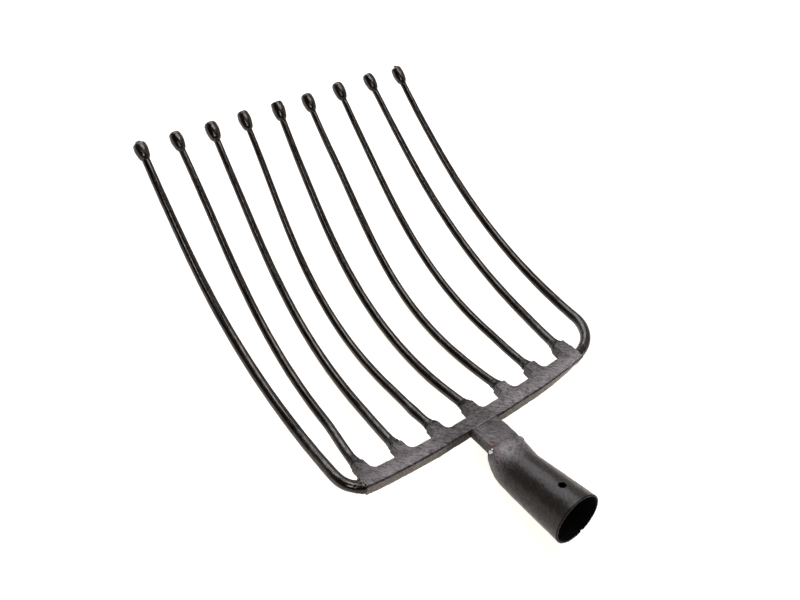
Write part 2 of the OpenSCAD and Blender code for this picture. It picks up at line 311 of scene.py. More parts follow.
def place(node, mesh, slot, *materials):
    """Puts a mesh into the scene as the shown form of a CAD node."""
    bm = bmesh.new()
    bm.from_mesh(mesh)
    bmesh.ops.triangulate(bm, faces=[face for face in bm.faces if len(face.verts) > 4])
    bmesh.ops.remove_doubles(bm, verts=bm.verts, dist=SAME_PLACE)
    bmesh.ops.dissolve_degenerate(bm, edges=bm.edges, dist=SAME_PLACE)
    bmesh.ops.recalc_face_normals(bm, faces=bm.faces)
    bm.to_mesh(mesh)
    bm.free()
    mesh.vertices.foreach_set("co", np.clip(points_of(mesh), *size_before).ravel())
    for polygon in mesh.polygons:
        polygon.use_smooth = True
    for material in materials:
        mesh.materials.append(material)
    thing = bpy.data.objects.new(f"shown_{node}", mesh)
    bpy.context.scene.collection.objects.link(thing)
    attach(thing, "root")
    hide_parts(node)


# Materials

# How often the paint's blotches, its scale and its grain repeat in a metre
BLOTCHES = 70
SCALE = 620
GRAIN = 1900
# How much blotches, streaks and scale count in the tone, and the range of the sum between dark and light
TONE_SHARES = (0.32, 0.3, 0.38)
TONE_RANGE = (0.36, 0.64)
# How much blotches and scale count in the gloss, and the range of that sum
GLOSS_SHARES = (0.5, 0.5)
GLOSS_RANGE = (0.35, 0.65)
# Ranges of the streaks in the shine, and of the scale where a patch of another colour wears out
SHINE_RANGE = (0.36, 0.64)
PATCH_RANGE = (0.38, 0.6)
# Cosines between which a face comes to look back towards the handle and takes the painted reflection tones
REAR_RANGE = (0.6, 0.85)
# Depths in metres of the blotches, the streaks, the scale and the grain
BLOTCH_DEPTH = 0.0004
STREAK_DEPTH = 0.00025
SCALE_DEPTH = 0.00015
GRAIN_DEPTH = 0.00008
# How strong the blotches are in relief, and the grain beside the scale
BLOTCH_RELIEF = 0.25
GRAIN_SHARE = 0.7
# What the painted shade leaves of the shine and of the thin gloss over the paint, and how rough that gloss is
SHADED_SHINE = 0.15
SHADED_COAT = 0.1
COAT_ROUGHNESS = 0.3
# A plain finish: how often its faint blotches repeat, how dark they are, their relief and their depth
FAINT_BLOTCHES = 300
FAINT_DARK = 0.6
FAINT_RELIEF = 0.3
FAINT_DEPTH = 0.0003


class Nodes:
    """A short way to build a node tree."""

    def __init__(self, tree):
        self.tree = tree
        tree.nodes.clear()

    def add(self, kind, values=None, **settings):
        made = self.tree.nodes.new(kind)
        for key, value in settings.items():
            setattr(made, key, value)
        for key, value in (values or {}).items():
            if isinstance(value, bpy.types.NodeSocket):
                self.tree.links.new(value, made.inputs[key])
            else:
                made.inputs[key].default_value = value
        return made

    def end(self, surface, kind="ShaderNodeOutputMaterial"):
        """Ends the tree with its output."""
        self.tree.links.new(surface, self.add(kind).inputs["Surface"])

    def noise(self, vector, scale, detail=3, roughness=0.55):
        made = self.add("ShaderNodeTexNoise", {
            "Vector": vector, "Scale": scale, "Detail": detail, "Roughness": roughness})
        return made.outputs["Fac"]

    def stretch(self, vector, scale, turn=0.0):
        """Coordinates turned about Z, then scaled on each axis."""
        turned = self.add("ShaderNodeMapping", {"Vector": vector, "Rotation": (0, 0, turn)})
        made = self.add("ShaderNodeMapping", {"Vector": turned.outputs["Vector"], "Scale": scale})
        return made.outputs["Vector"]

    def along_bar(self):
        """Distance from the bar's rear edge, in metres."""
        position = self.add("ShaderNodeNewGeometry").outputs["Position"]
        offset = self.add(
            "ShaderNodeVectorMath", {0: position, 1: tuple(BAR_ORIGIN)}, operation="SUBTRACT")
        made = self.add(
            "ShaderNodeVectorMath", {0: offset.outputs["Vector"], 1: tuple(BAR_X)}, operation="DOT_PRODUCT")
        return made.outputs["Value"]

    def ramp(self, value, low, high, to_low=0.0, to_high=1.0):
        """A smooth change between two values, and level outside them."""
        made = self.add("ShaderNodeMapRange", {
            "Value": value, "From Min": low, "From Max": high, "To Min": to_low, "To Max": to_high})
        made.interpolation_type = "SMOOTHSTEP"
        return made.outputs["Result"]

    def math(self, operation, a, b=0.0):
        return self.add("ShaderNodeMath", {0: a, 1: b}, operation=operation).outputs["Value"]

    def weigh(self, values, shares):
        """The sum of some values, each times its share."""
        parts = [self.math("MULTIPLY", value, share) for value, share in zip(values, shares)]
        total = parts[0]
        for part in parts[1:]:
            total = self.math("ADD", total, part)
        return total

    def mix(self, share, a, b):
        """A colour between two, by a share of the second one."""
        made = self.add("ShaderNodeMix", data_type="RGBA")
        for socket, value in ((made.inputs[0], share), (made.inputs[6], a), (made.inputs[7], b)):
            if isinstance(value, bpy.types.NodeSocket):
                self.tree.links.new(value, socket)
            else:
                socket.default_value = value
        return made.outputs[2]

    def bump(self, height, strength, distance, normal=None):
        values = {"Height": height, "Strength": strength, "Distance": distance}
        if normal is not None:
            values["Normal"] = normal
        return self.add("ShaderNodeBump", values).outputs["Normal"]

    def near(self, where, reach, feather):
        """1 within a reach of a point of the model, in metres, falling to 0 over the feather."""
        position = self.add("ShaderNodeNewGeometry").outputs["Position"]
        gap = self.add("ShaderNodeVectorMath", {0: position, 1: tuple(where)}, operation="DISTANCE")
        return self.ramp(gap.outputs["Value"], reach, reach + feather, 1.0, 0.0)


BAR_ORIGIN = Vector(from_bar([0, 0, 0]))
BAR_X = (Vector(from_bar([1000, 0, 0])) - BAR_ORIGIN).normalized()


def rgb(r, g, b):
    return (r, g, b, 1.0)


# The near-black that painted shade darkens the paint towards
PAINTED_SHADE_COLOUR = rgb(0.0014, 0.0012, 0.0012)
WARM = rgb(1.0, 0.955, 0.93)
RUST = rgb(0.12, 0.04, 0.02)
# Dark and light tones of each finish
TINE_TONES = (rgb(0.0016, 0.0012, 0.001), rgb(0.008, 0.0056, 0.0045))
# The bar's tones are the tines' black paint made lighter: a painted sheen of the light on the bar, neck and
# stub welds
BAR_SHEEN_TONES = (rgb(0.033, 0.0285, 0.031), rgb(0.165, 0.149, 0.16))
# Lighter, warmer tones for faces that look back towards the handle: a painted reflection of the floor
REAR_REFLECTION_TONES = (rgb(0.03, 0.022, 0.016), rgb(0.095, 0.073, 0.055))
SOCKET_TONES = (rgb(0.005, 0.0036, 0.003), rgb(0.016, 0.0125, 0.0115))


def new_finish(name):
    """A material with an empty node tree, and a way to build that tree."""
    made = bpy.data.materials.new(name)
    made.use_nodes = True
    return made, Nodes(made.node_tree)


def paint(name, tones, rough, shines, streaks, bumps, patches=(), beyond=(), rear_reflection_tones=None, coat=0.0):
    """Old black paint over forged steel: blotches of colour and gloss, fine scale, and streaks.

    tones are the dark and the light colour. Rows of beyond are other tones, and the distances from the bar's
    rear edge between which they take over. Faces that look back towards the handle take the rear tones,
    lighter and warmer, a painted reflection of the floor.
    rough and shines are the least and the most roughness and specular level; streaks are the scales on the
    axes and their turn about Z; bumps are the strengths of the streaks and of the scale. Rows of patches are
    a place, its reach, a colour and how strong it is. coat is the weight of a thin gloss over the paint.
    """
    made, n = new_finish(name)
    where = n.add("ShaderNodeTexCoord").outputs["Object"]
    broad = n.noise(where, BLOTCHES, detail=4)
    fine = n.noise(where, SCALE, detail=4, roughness=0.6)
    grain = n.noise(where, GRAIN, detail=3, roughness=0.6)
    along = n.noise(n.stretch(where, *streaks), 1.0, detail=4, roughness=0.6)
    tone = n.ramp(n.weigh((broad, along, fine), TONE_SHARES), *TONE_RANGE)
    colour = n.mix(tone, *tones)
    if rear_reflection_tones:
        # Faces looking back towards the handle get the painted reflection tones
        normal = n.add("ShaderNodeNewGeometry").outputs["Normal"]
        rear = n.add("ShaderNodeVectorMath", {0: normal, 1: tuple(-BAR_X)}, operation="DOT_PRODUCT")
        colour = n.mix(n.ramp(rear.outputs["Value"], *REAR_RANGE), colour, n.mix(tone, *rear_reflection_tones))
    for other, start, end in beyond:
        first, last = min(start, end), max(start, end)
        share = n.ramp(n.along_bar(), first, last, float(start > end), float(end > start))
        colour = n.mix(share, colour, n.mix(tone, *other))
    gloss = n.ramp(n.weigh((broad, fine), GLOSS_SHARES), *GLOSS_RANGE, *rough)
    for spot, reach, patch_colour, strength in patches:
        edge = n.math("MULTIPLY", n.near(spot, reach, reach), n.ramp(fine, *PATCH_RANGE))
        colour = n.mix(n.math("MULTIPLY", edge, strength), colour, patch_colour)
    # Painted shade stored on the forged pieces: it darkens the colour and takes away shine and gloss
    painted_shade = n.add("ShaderNodeAttribute", attribute_name="painted_shade").outputs["Fac"]
    colour = n.mix(painted_shade, colour, PAINTED_SHADE_COLOUR)
    shine = n.math(
        "MULTIPLY", n.ramp(along, *SHINE_RANGE, *shines), n.ramp(painted_shade, 0.0, 1.0, 1.0, SHADED_SHINE))
    normal = n.bump(broad, BLOTCH_RELIEF, BLOTCH_DEPTH)
    normal = n.bump(along, bumps[0], STREAK_DEPTH, normal)
    normal = n.bump(fine, bumps[1], SCALE_DEPTH, normal)
    normal = n.bump(grain, bumps[1] * GRAIN_SHARE, GRAIN_DEPTH, normal)
    shader = n.add("ShaderNodeBsdfPrincipled", {
        "Base Color": colour, "Roughness": gloss, "Normal": normal, "Specular IOR Level": shine,
        "Specular Tint": WARM, "Coat Roughness": COAT_ROUGHNESS,
        "Coat Weight": n.math("MULTIPLY", n.ramp(painted_shade, 0.0, 1.0, 1.0, SHADED_COAT), coat)})
    n.end(shader.outputs["BSDF"])
    return made


def plain(name, colour, rough, metal=0.0, shine=0.5):
    """A finish with only faint blotches."""
    made, n = new_finish(name)
    blotch = n.noise(n.add("ShaderNodeTexCoord").outputs["Object"], FAINT_BLOTCHES)
    darker = tuple(c * FAINT_DARK for c in colour[:3]) + (1.0,)
    shader = n.add("ShaderNodeBsdfPrincipled", {
        "Base Color": n.mix(blotch, darker, colour), "Roughness": rough, "Metallic": metal,
        "Specular IOR Level": shine, "Normal": n.bump(blotch, FAINT_RELIEF, FAINT_DEPTH)})
    n.end(shader.outputs["BSDF"])
    return made


# The spot of rust: its place, reach in metres, colour and strength
RUST_SPOTS = [(from_bar([-20.5, 10.5, 0.2]), 0.0026, RUST, 0.85)]
# Distances from the bar's rear edge where the bar's tones give way to the tines' and to the socket's
TO_TINES = (TINE_TONES, 0.017, 0.028)
TO_SOCKET = (SOCKET_TONES, -0.026, -0.046)
# The scale's streaks run across the bar and the neck at a slant
STREAK_TURN = math.radians(-50)

tine_paint = paint(
    "tine_paint", TINE_TONES, rough=(0.13, 0.26), shines=(0.3, 0.65),
    streaks=((110, 700, 700), 0.0), bumps=(0.3, 0.22))
bar_paint = paint(
    "bar_paint", BAR_SHEEN_TONES, rough=(0.34, 0.5), shines=(0.15, 0.6),
    streaks=((210, 820, 620), STREAK_TURN), bumps=(1.6, 1.0),
    patches=RUST_SPOTS, beyond=(TO_TINES,), rear_reflection_tones=REAR_REFLECTION_TONES)
socket_paint = paint(
    "socket_paint", BAR_SHEEN_TONES, rough=(0.3, 0.42), shines=(0.02, 0.1),
    streaks=((220, 900, 900), 0.4), bumps=(1.2, 1.2),
    patches=RUST_SPOTS, beyond=(TO_SOCKET,), coat=0.42)
weld_paint = paint(
    "weld_paint", BAR_SHEEN_TONES, rough=(0.3, 0.5), shines=(0.2, 0.6),
    streaks=((450, 450, 450), 0.0), bumps=(1.2, 1.2), beyond=(TO_TINES,))
# Near-black and dull for the inside of the socket: painted shade in the bore
shaded_socket_inside = plain("shaded_socket_inside", rgb(0.0012, 0.001, 0.001), rough=0.95, shine=0.1)
bare_weld = plain("bare_weld", rgb(0.5, 0.53, 0.58), rough=0.2, metal=1.0)

# Tines and the weld collars round their roots

TINE_SIDES = 22
RING_STEP = 1.8
# How far the last ring of a shaft stands before the first one of its knob
RING_GAP = 0.4
# How far the noise moves on from one tine to the next, and where that of the collars starts
SHAFT_SEED_STEP = 7.3
COLLAR_SEED_STEP = 3.1
COLLAR_SEED = 20
# Swellings of a shaft: share of the radius, length, and where their noise is read
LONG_SWELLING = (0.020, 17, 1.5)
SHORT_SWELLING = (0.012, 6, 8.5)
# The thicker place near the root of tine 4: share of the radius, distance from the bar, and length
BULGE_TINE = 3
BULGE = 0.10
BULGE_AT = 19
BULGE_LEN = 6
# Marks round a tine: height, how fast they change round it, length, and where their noise is read. The dents
# of a shaft are shares of its radius, and the lumps and spots of a collar are millimetres
DENTS = (0.022, 1.3, 7, 0)
LUMPS = (0.75, 2.4, 1.9, 0)
SPOTS = (0.6, 4.5, 0.9, 40)
# How much slimmer a shaft and a knob are for their marks
SHAFT_EASE = 0.015
KNOB_EASE = 0.01
# Dents of a knob: share of the radius, and how fast they change round it and along it
KNOB_DENT = 0.02
KNOB_DENT_ROUND = 1.1
KNOB_DENT_ALONG = 3
# A collar's rings, the points of each, its length, and how far it laps back over the end of its stub
COLLAR_STEPS = 30
COLLAR_SIDES = 32
COLLAR_REACH = 10.5
COLLAR_LAP = 1.4
# How far it stands out round an inner and an outer tine, and how that falls along it
INNER_STAND = 0.85
OUTER_STAND = 1.0
STAND_POWER = 1.4
# Its ragged front: mean place and spread as shares of its length, and how fast it changes round the tine
RAGGED_MEAN = 0.74
RAGGED_SPREAD = 0.5
RAGGED_ROUND = 1.5
# What an outer tine's collar has of the lumps and spots, and the part of them that lies beyond the front
OUTER_ROUGH = 0.4
ROUGH_BEYOND = 0.2
# How far its two ends are sunk into the tine and the stub
FRONT_SINK = 0.5
BACK_SINK = 1.2


def compass(sides):
    """Cosine and sine of each of some even turns round a circle."""
    angles = [2 * math.pi * k / sides for k in range(sides)]
    return [(math.cos(a), math.sin(a)) for a in angles]


def ring_at(tine, s, radii):
    """A ring of points round a tine at s, one for each radius."""
    centre, across, above = tine.frame(s)
    return [centre + r * (c * across + q * above) for r, (c, q) in zip(radii, compass(len(radii)))]


def swelling(kind, s, seed):
    """Share of the radius by which a shaft is thicker or thinner at s."""
    share, length, row = kind
    return share * wave(s / length, seed, row)


def marks(kind, c, q, s, seed):
    """Height of some marks round a tine at s, on the side of a cosine and a sine."""
    height, often, length, start = kind
    return height * wave(often * c, often * q + seed, s / length + start)


def knob_outline(i):
    """Rows of: share of the knob's length, and radius in millimetres."""
    radius, end, nose = KNOBS[i]
    body_end, body_width = KNOB_BODY[-1]
    rows = list(KNOB_BODY)
    for t in NOSE_RINGS:
        rows.append((body_end + (end - body_end) * t, nose + (body_width - nose) * math.sqrt(1 - t * t)))
    rows.append((end + NOSE_FLAT_LEN, nose * NOSE_FLAT))
    if i == NUB_TINE:
        rows += NUB
    return [(share, radius * width) for share, width in rows]


def tine_rings(tine):
    """A shaft with its forging marks, and the knob at its end."""
    i = tine.i
    shaft_end = tine.total - KNOB_LEN
    seed = SHAFT_SEED_STEP * i
    rings = []
    for s in np.linspace(0, shaft_end - RING_GAP, int(shaft_end / RING_STEP)):
        r = tine.shaft_r(s)
        lump = swelling(LONG_SWELLING, s, seed) + swelling(SHORT_SWELLING, s, seed)
        if i == BULGE_TINE:
            lump += BULGE * math.exp(-((s - BULGE_AT) / BULGE_LEN) ** 2)
        radii = [r * (1 + lump + marks(DENTS, c, q, s, seed) - SHAFT_EASE) for c, q in compass(TINE_SIDES)]
        rings.append(ring_at(tine, s, radii))
    for share, radius in knob_outline(i):
        radii = []
        for c, q in compass(TINE_SIDES):
            around_knob = wave(KNOB_DENT_ROUND * c + seed, KNOB_DENT_ROUND * q, share * KNOB_DENT_ALONG)
            dent = KNOB_DENT * around_knob - KNOB_EASE
            radii.append(radius * (1 + dent))
        rings.append(ring_at(tine, shaft_end + share * KNOB_LEN, radii))
    return from_bar(np.array(rings))


def collar_rings(tine):
    """A ragged weld round a tine's root. An inner one is square at its stub and laps back over its end."""
    seed = COLLAR_SEED_STEP * tine.i + COLLAR_SEED
    lap = 0.0 if tine.outer else COLLAR_LAP
    stands = OUTER_STAND if tine.outer else INNER_STAND
    rough = OUTER_ROUGH if tine.outer else 1.0
    rings = []
    for step in range(COLLAR_STEPS + 1):
        s = -lap + (COLLAR_REACH + lap) * step / COLLAR_STEPS
        share = clamp(s / COLLAR_REACH)
        body = tine.shaft_r(max(0, s))
        squareness = 2 if tine.outer else 2 + (1 - share) ** 2
        radii = []
        for c, q in compass(COLLAR_SIDES):
            uneven = wave(RAGGED_ROUND * c, RAGGED_ROUND * q, seed)
            front = COLLAR_REACH * (RAGGED_MEAN + RAGGED_SPREAD * uneven)
            stand = (1 - clamp(s / front)) ** STAND_POWER if s > 0 else 1
            r = body + stand * stands
            roughness = marks(LUMPS, c, q, s, seed) + marks(SPOTS, c, q, s, seed)
            r += rough * roughness * (ROUGH_BEYOND + (1 - ROUGH_BEYOND) * stand)
            if share >= 1:
                r = body - FRONT_SINK
            if step == 0 and not tine.outer:
                r -= BACK_SINK
            radii.append(r * (abs(c) ** squareness + abs(q) ** squareness) ** (-1 / squareness))
        rings.append(ring_at(tine, s, radii))
    return from_bar(np.array(rings))


tines = [Tine(i) for i in range(TINES)]
for tine in tines:
    place(f"tine_{tine.i + 1}", skin(tine_rings(tine)), "tine_paint", tine_paint)

# Forged and rolled pieces, softened from the CAD model's own forms

# How far one round of smoothing pulls a point towards its neighbours
SMOOTH_PULL = 0.5


def softened(meshes, voxel, smoothing):
    """Some meshes as one, made anew of small even faces with its edges worn round."""
    bm = bmesh.new()
    for mesh in meshes:
        bm.from_mesh(mesh)
    bmesh.ops.recalc_face_normals(bm, faces=bm.faces)
    thing = bpy.data.objects.new("working", mesh_from(bm, "working"))
    bpy.context.scene.collection.objects.link(thing)
    remesh = thing.modifiers.new("even", "REMESH")
    remesh.mode = "VOXEL"
    remesh.voxel_size = voxel
    smooth = thing.modifiers.new("worn", "SMOOTH")
    smooth.factor = SMOOTH_PULL
    smooth.iterations = smoothing
    bpy.context.view_layer.update()
    evaluated = thing.evaluated_get(bpy.context.evaluated_depsgraph_get())
    made = bpy.data.meshes.new_from_object(evaluated)
    bpy.data.objects.remove(thing)
    return made


def cut_mesh(mesh, tool, operation):
    """A closed mesh cut with, or to, another one."""
    thing = bpy.data.objects.new("working", mesh.copy())
    other = bpy.data.objects.new("tool", tool)
    for made in (thing, other):
        bpy.context.scene.collection.objects.link(made)
    cutter = thing.modifiers.new("cut", "BOOLEAN")
    cutter.solver = "MANIFOLD"
    cutter.operation = operation
    cutter.object = other
    bpy.context.view_layer.update()
    made = bpy.data.meshes.new_from_object(thing.evaluated_get(bpy.context.evaluated_depsgraph_get()))
    made.materials.clear()
    bpy.data.objects.remove(thing)
    bpy.data.objects.remove(other)
    return made


def box(place_in, low, high):
    """A box between two corners, put into the model by place_in."""
    bm = bmesh.new()
    bmesh.ops.create_cube(bm, size=1.0)
    for v in bm.verts:
        share = np.array(v.co) + 0.5
        v.co = Vector(place_in(np.array(low) * (1 - share) + np.array(high) * share))
    return mesh_from(bm, "box")


def blend(mesh, share, rounds):
    """Smooths a mesh by as much as share(points) says at each place."""
    points = points_of(mesh)
    count = len(points)
    ends = np.zeros(len(mesh.edges) * 2, dtype=int)
    mesh.edges.foreach_get("vertices", ends)
    a, b = ends.reshape(-1, 2).T
    neighbours = np.bincount(a, minlength=count) + np.bincount(b, minlength=count)
    pull = SMOOTH_PULL * share(points)
    for _ in range(rounds):
        for axis in range(3):
            column = points[:, axis]
            total = np.bincount(a, column[b], count) + np.bincount(b, column[a], count)
            points[:, axis] = column + pull * (total / neighbours - column)
    mesh.vertices.foreach_set("co", points.ravel())
    mesh.update()


def move_points(mesh, change):
    """Moves every point of a mesh along its normal by change(points), in millimetres."""
    points = points_of(mesh)
    normals = np.zeros(points.size)
    mesh.vertices.foreach_get("normal", normals)
    moved = points + normals.reshape(-1, 3) * (change(points) * MM)[:, None]
    mesh.vertices.foreach_set("co", moved.ravel())
    mesh.update()


def noise_at(points, size, start):
    """Noise of a size in millimetres at each point, read from a start of its own."""
    scale = 1 / size
    return np.array([noise.noise(Vector(p * scale + start)) for p in points])


def relief(points, kind):
    """Height of some marks at each point."""
    height, size, start = kind
    return height * noise_at(points, size, start)


def fade(x, start, end):
    """1 up to start, falling smoothly to 0 at the end."""
    t = np.clip((x - start) / (end - start), 0, 1)
    return 1 - t * t * (3 - 2 * t)


def from_line(p, start, end):
    """Distance of points from a straight line between two places, looking down."""
    start, end = np.array(start), np.array(end)
    run = end - start
    t = np.clip(((p[:, :2] - start) @ run) / (run @ run), 0, 1)
    return np.hypot(*(p[:, :2] - start - t[:, None] * run).T)


# Marks all over the forged form, and on the seam's weld: height, size, and where their noise is read
HAMMER_MARKS = (0.14, 10, 3.0)
SCALE_MARKS = (0.08, 3.2, 5.0)
WELD_MARKS = (0.25, 2.2, 31.0)
# How far the form and the seam's weld are drawn in, so that their marks stay inside the CAD model's size
FORM_EASE = 0.13
WELD_EASE = 0.15
# Pits: depth, size and start of their noise, the height of noise where they begin, and how far behind the
# bar's rear edge they fade out
PIT_DEPTH = 0.6
PIT_NOISE = (2.2, 9.0)
PIT_FROM = 0.4
PIT_FADE = (1, 4)
# The sunk line of the joint between bar and neck: depth, unevenness, and where it fades across and along
JOINT_DEPTH = 0.36
JOINT_NOISE = (3, 13.0)
JOINT_WIDTH = (0.15, 0.7)
JOINT_LENGTH = (12.5, 14)
# A ridge of weld across the top behind the neck, and two gouges in front of it, in the socket's frame, with
# their heights and where they fade across. They lie on faces above a height of their own
ARC_RIDGE = [(78.5, 12.1), (77.6, 7.6), (78.3, 3.2), (77.0, -5.0)]
RIDGE_HEIGHT = 0.5
RIDGE_WIDTH = (0.3, 1.6)
GOUGES = [((75.4, -7.6), (73.0, -5.0)), ((69.2, 1.4), (66.8, 4.0))]
GOUGE_DEPTH = 1.0
GOUGE_WIDTH = (0.2, 1.1)
TOP_FROM = 12


def form_change(points):
    """Hammer marks, pits and scale all over the forged form, in millimetres."""
    bar = to_bar(points)
    change = relief(bar, HAMMER_MARKS) + relief(bar, SCALE_MARKS) - FORM_EASE
    on_bar = fade(-bar[:, 0], *PIT_FADE)
    change -= PIT_DEPTH * on_bar * np.maximum(0, noise_at(bar, *PIT_NOISE) - PIT_FROM)
    joint = fade(np.abs(bar[:, 0]), *JOINT_WIDTH) * fade(np.abs(bar[:, 1]), *JOINT_LENGTH)
    change -= JOINT_DEPTH * joint * (1 + noise_at(bar, *JOINT_NOISE))
    p = to_socket(points)
    above = np.clip(p[:, 2] - TOP_FROM, 0, 1)
    for start, end in zip(ARC_RIDGE, ARC_RIDGE[1:]):
        change += RIDGE_HEIGHT * above * fade(from_line(p, start, end), *RIDGE_WIDTH)
    for start, end in GOUGES:
        change -= GOUGE_DEPTH * above * fade(from_line(p, start, end), *GOUGE_WIDTH)
    return change


def weld_change(points):
    """Lumps of the seam's weld, in millimetres."""
    return relief(to_bar(points), WELD_MARKS) - WELD_EASE


# Where the neck runs into the socket behind the bar, and how the blend fades from there: along, down, and in
# from the side of tine 9
SHOULDER_AT = 23
SHOULDER_LENGTH = (4, 13)
SHOULDER_DROP = (1.5, 7)
SHOULDER_SIDE = (-11, -7)


def shoulder_share(points):
    """1 on top and on tine 9's side where the neck runs into the socket, falling to 0 around."""
    p = to_bar(points)
    along = fade(np.abs(p[:, 0] + SHOULDER_AT), *SHOULDER_LENGTH)
    return along * np.maximum(fade(-p[:, 2], *SHOULDER_DROP), fade(p[:, 1], *SHOULDER_SIDE))


# Rows of: place along the bar, how far its rear edge stands back there, and how far the rear face leans in
REAR_EDGE = [
    (-104, 0.4, 2.8), (-98, 0.4, 2.6), (-90, 0.9, 1.9), (-82, 1.1, 1.3), (-66, 1.7, 0.8), (-55, 1.6, 0.4),
    (-44, 1.1, 0), (-34, 1.2, 0), (-22, 1.2, 0), (-14, 0.8, 0), (-11.6, 0, 0), (13.6, 0, 0), (15, 0, 0),
    (30, 0.1, 0), (45, 0.7, 0), (90, 0.8, 0), (104, 0.8, 0), (113, 0.4, 0),
]
# Where that shift fades in front of the rear edge and behind it
REAR_FRONT = (0.5, 7)
REAR_BEHIND = (0.8, 1.5)


def shape_rear(mesh):
    """Brings the bar's rear face to its own uneven line, and leans it in under its top, as it was forged."""
    p = to_bar(points_of(mesh))
    place_y, back, lean = np.array(REAR_EDGE).T
    depth = np.clip((dish(p[:, 1]) - p[:, 2]) / BAR_T, 0, 1)
    shift = np.interp(p[:, 1], place_y, lean) * depth - np.interp(p[:, 1], place_y, back)
    p[:, 0] += shift * fade(p[:, 0], *REAR_FRONT) * fade(-p[:, 0], *REAR_BEHIND)
    mesh.vertices.foreach_set("co", from_bar(p).ravel())
    mesh.update()


def add_painted_shade(mesh, amount):
    """Stores how much painted shade each point gets, worked out by amount(points) with the points in metres.
    """
    values = np.clip(amount(points_of(mesh)), 0, 1).astype(np.float32)
    layer = mesh.attributes.new("painted_shade", "FLOAT", "POINT")
    layer.data.foreach_set("value", values)


# How much painted shade each place on the bar and at the tines' roots gets, from 0 to 1; in the middle of the
# top it is only a plainly darker tone
BAR_SHADE = {
    "upper rear edge": 0.9, "rear face left of the neck": 0.85, "rear face right of the neck": 0.3,
    "middle of the top": 0.52, "front": 0.25, "roots": 0.8, "joint": 0.6, "strip left of the neck": 0.8,
    "front left corner": 0.55, "beyond the ends": 0.45,
}
# How dark the joint, the neck's top, its sides besides and the socket's rim are: painted shade in the joint,
# on the sides and at the rim, and a plainly darker top
JOINT_SHADE = 0.8
NECK_TOP_DARKENING = 0.32
SIDE_SHADE = 0.2
RIM_SHADE = 0.7
# How much more of it the neck's top has towards the bar, and on the side of tine 9
TOP_BAR_DARKENING = 0.12
TOP_RIGHT_DARKENING = 0.15
# Noise that moves the edges of the painted shade, and noise of its spots at the roots: size, and where it is
# read
BAR_SHADE_NOISE = (4, 51.0)
ROOT_SPOT_NOISE = (2.5, 61.0)
NECK_SHADE_NOISE = (3, 71.0)
# A fade is the two distances between which the painted shade goes from all to none. Where both are below
# zero, it lies farther out than they do
REAR_FACE_FADE = (0.4, 1.5)
BESIDE_NECK_FADE = (-15, -13)
NECK_MIDDLE = (NECK_LEFT - NECK_RIGHT) / 2
# The dark line below the top's rear edge: its middle, and its two sides with how far each one moves
EDGE_LINE_AT = 0.9
EDGE_LINE_SIDES = ((0.6, 0.5), (1.5, 0.9))
# The dark line round each root: how far it is beyond the stub, how far it moves, its fade and its spots' fade
ROOT_LINE_AT = 1.5
ROOT_LINE_SWAY = 2
ROOT_LINE_FADE = (0.6, 2.6)
ROOT_SPOT_FADE = (0.0, 0.5)
# The rear face on both sides of the neck, away from it and then back at it
LEFT_FACE_FADE = (18, 38)
RIGHT_FACE_FADE = (2, 34)
NECK_SIDE_FADE = (0, 2)
# The middle of the top, the front, and how much more of it lies at the far sides
MIDDLE_AT = 14
MIDDLE_FADE = (18, 42)
FRONT_FADE = (-10, -4)
FAR_SIDES_FADE = (-75, -55)
FAR_SIDES_MORE = 0.6
# The strip along the rear edge, the front left corner, and the places beyond the bar's ends
STRIP_AT = 29
STRIP_WIDTH_FADE = (0.6, 2.2)
STRIP_LENGTH_FADE = (7, 16)
CORNER_SIDE_FADE = (-113, -99)
CORNER_FRONT_FADE = (-14, -5)
END_FADE = 1
# The joint in front of its line and behind it, and how far that last edge moves
JOINT_FRONT_FADE = (0.15, 0.6)
JOINT_BACK_FADE = (0.3, 0.9)
JOINT_BACK_SWAY = 0.3
# The neck: its sides up from the underside, its top, its end at the socket, and the socket's rim
SIDE_FADE = (5.5, 7.5)
TOP_BAR_FADE = (6, 18)
TOP_RIGHT_FADE = (-6, 8)
NECK_END_FADE = (20, 27)
RIM_FADE = (0.5, 1.8)


